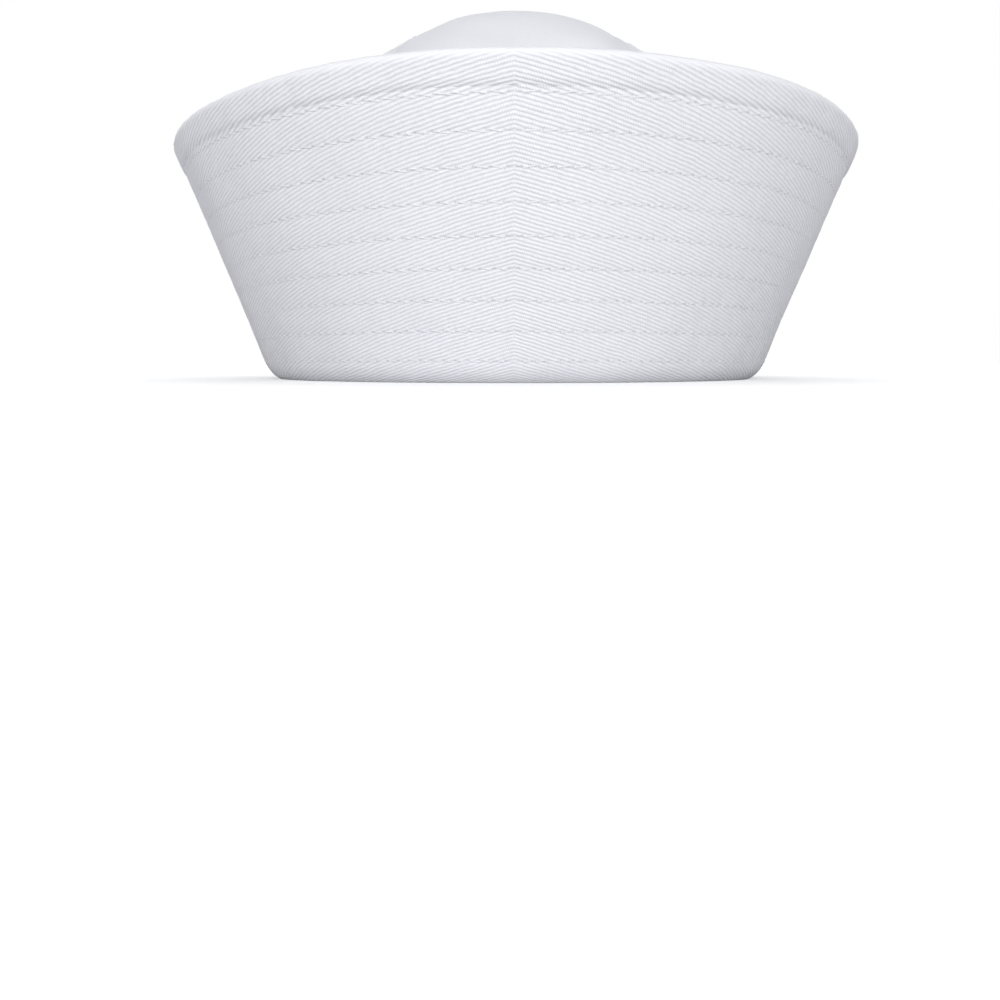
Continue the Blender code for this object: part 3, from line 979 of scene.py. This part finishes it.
def twill_material(name, light, groove_shade, relief, pitch=WALE_PITCH_MM, stitched=False, edge=None):
    """White twill: slanting wales, the yarns across them, painted shade in the grooves between the wales, and
    a little unevenness. A stitched cloth has painted shade at its needle holes and a painted shadow in the
    crease under each thread, both also dented into the bump, and one with an edge is pressed smooth at that
    height up the cloth and lightened there as a painted highlight."""
    shading = Shading(name)
    along, up = shading.coordinates("cloth")
    drift = shading.math("MULTIPLY_ADD", shading.noise(DRIFT_WAVES, detail=2.0), DRIFT, -DRIFT / 2)
    pull = shading.math("MULTIPLY_ADD", shading.noise(PULL_WAVES, detail=2.0), PULL, -PULL / 2)
    slanted = shading.math("MULTIPLY_ADD", shading.math("ABSOLUTE", along), WALE_SLANT, up)
    wale_phase = shading.math("ADD", shading.math("DIVIDE", slanted, pitch), shading.math("ADD", drift, pull))
    wale = shading.math("POWER", shading.wave(wale_phase), WALE_FLATNESS)
    yarns = shading.math("DIVIDE", along, pitch * YARN_PITCH)
    yarn = shading.wave(shading.math("MULTIPLY_ADD", wale_phase, 0.5, yarns))
    height = shading.math("MULTIPLY", wale, shading.math("MULTIPLY_ADD", yarn, YARN_RELIEF, 1 - YARN_RELIEF))
    slub = shading.noise(1.0, detail=2.0, place=shading.place(
        shading.math("MULTIPLY", along, SLUB_STRETCH), shading.math("MULTIPLY", wale_phase, SLUB_WAVES)
    ))
    height = shading.math("MULTIPLY_ADD", slub, SLUB, shading.math("SUBTRACT", height, SLUB / 2))
    fuzz = shading.noise(FUZZ_WAVES, detail=4.0, roughness=0.7)
    height = shading.math("MULTIPLY_ADD", fuzz, FUZZ, height)
    if edge is not None:
        # Pressed smooth and lightened: the weave's height is pulled towards a level near its highest, which
        # flattens the bump and paints a highlight along the edge
        pressed_and_highlit = shading.spot(shading.math("SUBTRACT", up, edge), EDGE_REACH_MM)
        pressed_and_highlit = shading.math("MULTIPLY", pressed_and_highlit, EDGE_PRESS_AND_HIGHLIGHT)
        smoothing_and_highlight = shading.math("SUBTRACT", EDGE_HIGHLIGHT_LEVEL, height)
        height = shading.math("MULTIPLY_ADD", pressed_and_highlit, smoothing_and_highlight, height)
    blotches = shading.noise(BLOTCH_WAVES, detail=3.0)
    # Where the weave is low it takes the groove tone, painted shade between the wales; the blotches are
    # random tone
    shade = shading.math("MULTIPLY_ADD", blotches, BLOTCH, shading.math("SUBTRACT", height, BLOTCH))
    shade = shading.math("MINIMUM", shading.math("MAXIMUM", shade, 0.0), 1.0)
    color = shading.blend(shade, groove_shade, light)
    if stitched:
        # Painted shade at the needle holes and a painted shadow below each thread darken the colour, and dent
        # the bump
        stitch_shade = painted_stitch_shade(shading, along, up)
        color = shading.blend(stitch_shade, color, PIT_SHADE)
        height = shading.math("MULTIPLY_ADD", stitch_shade, -CREASE_RELIEF, height)
    shading.connect(color, shading.shader.inputs["Base Color"])
    rough = shading.math("MULTIPLY_ADD", fuzz, ROUGHNESS_SPREAD, COTTON_ROUGHNESS)
    shading.connect(rough, shading.shader.inputs["Roughness"])
    shading.connect(shading.bump(height, relief), shading.shader.inputs["Normal"])
    shading.shader.inputs["Specular IOR Level"].default_value = 0.25
    shading.shader.inputs["Sheen Weight"].default_value = 0.12
    shading.shader.inputs["Sheen Roughness"].default_value = 0.5
    return shading.material


def painted_stitch_shade(shading, along, up):
    """0 to 1 where the brim's cloth is marked by its stitches: painted shade in the needle holes, and a
    crease that each thread presses along its lower side, darkened as a painted shadow."""
    below_first = shading.math("SUBTRACT", row_heights[0] / MM, up)
    row = shading.math("ROUND", shading.math("DIVIDE", below_first, ROW_SPACING / MM))
    away = shading.math("SUBTRACT", shading.math("MULTIPLY", row, ROW_SPACING / MM), below_first)
    scrambled = shading.math("FRACT", shading.math("MULTIPLY", row, PHASE_STEP))
    phase = shading.math("MULTIPLY_ADD", scrambled, PHASE_RANGE, FIRST_PHASE)
    count = shading.math("SUBTRACT", shading.math("DIVIDE", along, STITCH_PITCH / MM), phase)
    to_hole = shading.math("SUBTRACT", count, shading.math("ROUND", count))
    # Painted shade in each needle hole
    hole = shading.math("MULTIPLY", shading.spot(to_hole, HOLE_SPREAD), shading.spot(away, HOLE_SPREAD_UP))
    to_middle = shading.math("SUBTRACT", shading.math("FRACT", count), 0.5)
    thread_up = shading.math("MULTIPLY", to_middle, STITCH_SLANT / MM)
    # A crease below each thread, darkened as a painted shadow
    from_crease_and_shadow = shading.math("ADD", shading.math("SUBTRACT", away, thread_up), CREASE_AND_SHADOW_BELOW_THREAD)
    crease_and_shadow = shading.math("MULTIPLY", shading.spot(from_crease_and_shadow, CREASE_AND_SHADOW_WIDTH), THREAD_SHADOW_DARKNESS)
    by_thread = shading.math("LESS_THAN", shading.math("ABSOLUTE", to_middle), CREASE_AND_SHADOW_REACH)
    crease_and_shadow = shading.math("MULTIPLY", crease_and_shadow, by_thread)
    painted_shade = shading.math("MAXIMUM", shading.math("MULTIPLY", hole, HOLE_SHADE), crease_and_shadow)
    on_wall = shading.math("GREATER_THAN", up, (row_heights[-1] - ROW_SPACING / 2) / MM)
    return shading.math("MULTIPLY", painted_shade, on_wall)


def thread_material():
    """Two-ply cotton thread, twisted, with painted shade in the grooves between its plies."""
    shading = Shading("cotton thread")
    along, around = shading.coordinates("thread")
    twisted = shading.math("MULTIPLY_ADD", along, PLY_WAVES, shading.math("MULTIPLY", around, PLIES))
    ply = shading.wave(twisted)
    # Darker between the plies: painted shade
    color = shading.blend(shading.math("POWER", ply, PLY_SHARPNESS), THREAD_GROOVE_SHADE, THREAD)
    shading.connect(color, shading.shader.inputs["Base Color"])
    fuzz = shading.noise(THREAD_FUZZ_WAVES)
    height = shading.math("MULTIPLY_ADD", fuzz, THREAD_FUZZ, ply)
    shading.connect(shading.bump(height, THREAD_RELIEF), shading.shader.inputs["Normal"])
    rough = shading.math("MULTIPLY_ADD", fuzz, THREAD_ROUGHNESS_SPREAD, THREAD_ROUGHNESS)
    shading.connect(rough, shading.shader.inputs["Roughness"])
    shading.shader.inputs["Specular IOR Level"].default_value = 0.35
    shading.shader.inputs["Sheen Weight"].default_value = 0.1
    return shading.material


# Stage

FLOOR_SIZE = 12.0
NEAR_FLOOR = 0.1
FAR_FLOOR = 0.32
NEAR_GLOW = 0.4
SURROUND = 0.49
SIDE_SURROUND = 0.12
CAMERA_DISTANCE = 0.34
CAMERA_HEIGHT = 5 * MM
CAMERA_PITCH = math.radians(8.5)
CAMERA_YAW = math.radians(0.85)
CAMERA_LENS = 32.9
SENSOR = 36.0


def add_floor():
    """A white floor that is lit, and glows a little, so that it stays white and still takes a shadow."""
    mesh = bpy.data.meshes.new("floor")
    mesh_data = bmesh.new()
    bmesh.ops.create_grid(mesh_data, x_segments=1, y_segments=1, size=FLOOR_SIZE / 2)
    mesh_data.to_mesh(mesh)
    mesh_data.free()
    floor = bpy.data.objects.new("floor", mesh)
    bpy.context.scene.collection.objects.link(floor)
    shading = Shading("floor")
    shading.shader.inputs["Base Color"].default_value = (0.75, 0.75, 0.76, 1.0)
    shading.shader.inputs["Roughness"].default_value = 1.0
    shading.shader.inputs["Specular IOR Level"].default_value = 0.0
    shading.shader.inputs["Emission Color"].default_value = (1.0, 1.0, 1.0, 1.0)
    glow = shading.node("ShaderNodeMapRange", interpolation_type="SMOOTHSTEP")
    distance = shading.node("ShaderNodeVectorMath", operation="LENGTH")
    shading.connect(shading.node("ShaderNodeTexCoord").outputs["Object"], distance.inputs[0])
    shading.connect(distance.outputs["Value"], glow.inputs["Value"])
    for socket, value in zip(glow.inputs[1:5], (NEAR_FLOOR, FAR_FLOOR, NEAR_GLOW, 1.0)):
        socket.default_value = value
    seen = shading.node("ShaderNodeLightPath").outputs["Is Camera Ray"]
    shown_glow = shading.math("MULTIPLY", glow.outputs["Result"], seen)
    shading.connect(shown_glow, shading.shader.inputs["Emission Strength"])
    floor.data.materials.append(shading.material)


def add_light(name, place, size, power, color=(1.0, 1.0, 1.0)):
    """A soft panel that faces the cap."""
    data = bpy.data.lights.new(name, "AREA")
    data.shape = "RECTANGLE"
    data.size, data.size_y = size
    data.energy = power
    data.color = color
    light = bpy.data.objects.new(name, data)
    light.location = place
    towards = Vector((0, 0, BRIM_HEIGHT / 2)) - light.location
    light.rotation_euler = towards.to_track_quat("-Z", "Y").to_euler()
    bpy.context.scene.collection.objects.link(light)


def add_world():
    """An even pale surround that lights the cap, and shows white behind it."""
    world = bpy.data.worlds.new("studio")
    world.use_nodes = True
    tree = world.node_tree
    surround = tree.nodes["Background"]
    surround.inputs["Color"].default_value = (0.97, 0.98, 1.0, 1.0)
    direction = tree.nodes.new("ShaderNodeTexCoord")
    parts = tree.nodes.new("ShaderNodeSeparateXYZ")
    tree.links.new(direction.outputs["Generated"], parts.inputs[0])
    sideways = tree.nodes.new("ShaderNodeMath")
    sideways.operation = "MULTIPLY"
    tree.links.new(parts.outputs["X"], sideways.inputs[0])
    tree.links.new(parts.outputs["X"], sideways.inputs[1])
    strength = tree.nodes.new("ShaderNodeMath")
    strength.operation = "MULTIPLY_ADD"
    tree.links.new(sideways.outputs[0], strength.inputs[0])
    strength.inputs[1].default_value = SIDE_SURROUND - SURROUND
    strength.inputs[2].default_value = SURROUND
    tree.links.new(strength.outputs[0], surround.inputs["Strength"])
    backdrop = tree.nodes.new("ShaderNodeBackground")
    backdrop.inputs["Color"].default_value = (1.0, 1.0, 1.0, 1.0)
    seen = tree.nodes.new("ShaderNodeLightPath")
    choice = tree.nodes.new("ShaderNodeMixShader")
    tree.links.new(seen.outputs["Is Camera Ray"], choice.inputs["Fac"])
    tree.links.new(surround.outputs[0], choice.inputs[1])
    tree.links.new(backdrop.outputs[0], choice.inputs[2])
    tree.links.new(choice.outputs[0], tree.nodes["World Output"].inputs["Surface"])
    bpy.context.scene.world = world


def add_camera():
    data = bpy.data.cameras.new("camera")
    data.sensor_width = SENSOR
    data.lens = CAMERA_LENS
    data.clip_start = 5 * MM
    camera = bpy.data.objects.new("camera", data)
    camera.location = (0, -CAMERA_DISTANCE, CAMERA_HEIGHT)
    camera.rotation_euler = (math.pi / 2 - CAMERA_PITCH, 0, CAMERA_YAW)
    bpy.context.scene.collection.objects.link(camera)
    bpy.context.scene.camera = camera


def build_stage():
    add_floor()
    add_world()
    add_light("front panel", place=(0, -1.6, 0.24), size=(1.0, 0.7), power=21.7)
    add_light("back panel", place=(0, 1.6, 0.7), size=(1.2, 0.8), power=16.0, color=(0.97, 0.98, 1.0))
    add_light("top panel", place=(0, 0.1, 1.6), size=(1.2, 1.2), power=4.0, color=(0.97, 0.985, 1.0))
    add_camera()
    bpy.context.scene.view_settings.view_transform = "Standard"


def build_cap():
    brim_cloth = twill_material("brim twill", COTTON, COTTON_GROOVE_SHADE, relief=0.13 * MM, stitched=True)
    hem_cloth = twill_material("hem twill", COTTON, COTTON_GROOVE_SHADE, relief=0.13 * MM, edge=EDGE_HEIGHT_MM)
    crown_cloth = twill_material("crown twill", CROWN_COTTON, CROWN_GROOVE_SHADE, relief=0.08 * MM, pitch=0.9)
    band_cloth = twill_material("sweatband cotton", BAND_COTTON, BAND_GROOVE_SHADE, relief=0.05 * MM, pitch=0.7)
    thread = thread_material()
    for side_name, side in (("left", -1), ("right", 1)):
        add_brim(side_name, side, brim_cloth)
        add_hem(side_name, side, hem_cloth)
        add_stitches(f"brim_{side_name}_outer_stitches", brim_stitches(side, 1), thread, "brim_twill")
        add_stitches(f"brim_{side_name}_inner_stitches", brim_stitches(side, -1), thread, "brim_twill")
    for number, side_name in enumerate(("front", "right", "back", "left")):
        add_gore(side_name, number * math.pi / 2, crown_cloth)
    add_stitches("crown_seam_stitches", crown_seam_stitches(), thread, "crown_twill")
    add_sweatband(band_cloth)
    add_stitches("sweatband_stitches", sweatband_stitches(), thread, "sweatband_cotton")


build_stage()
build_cap()
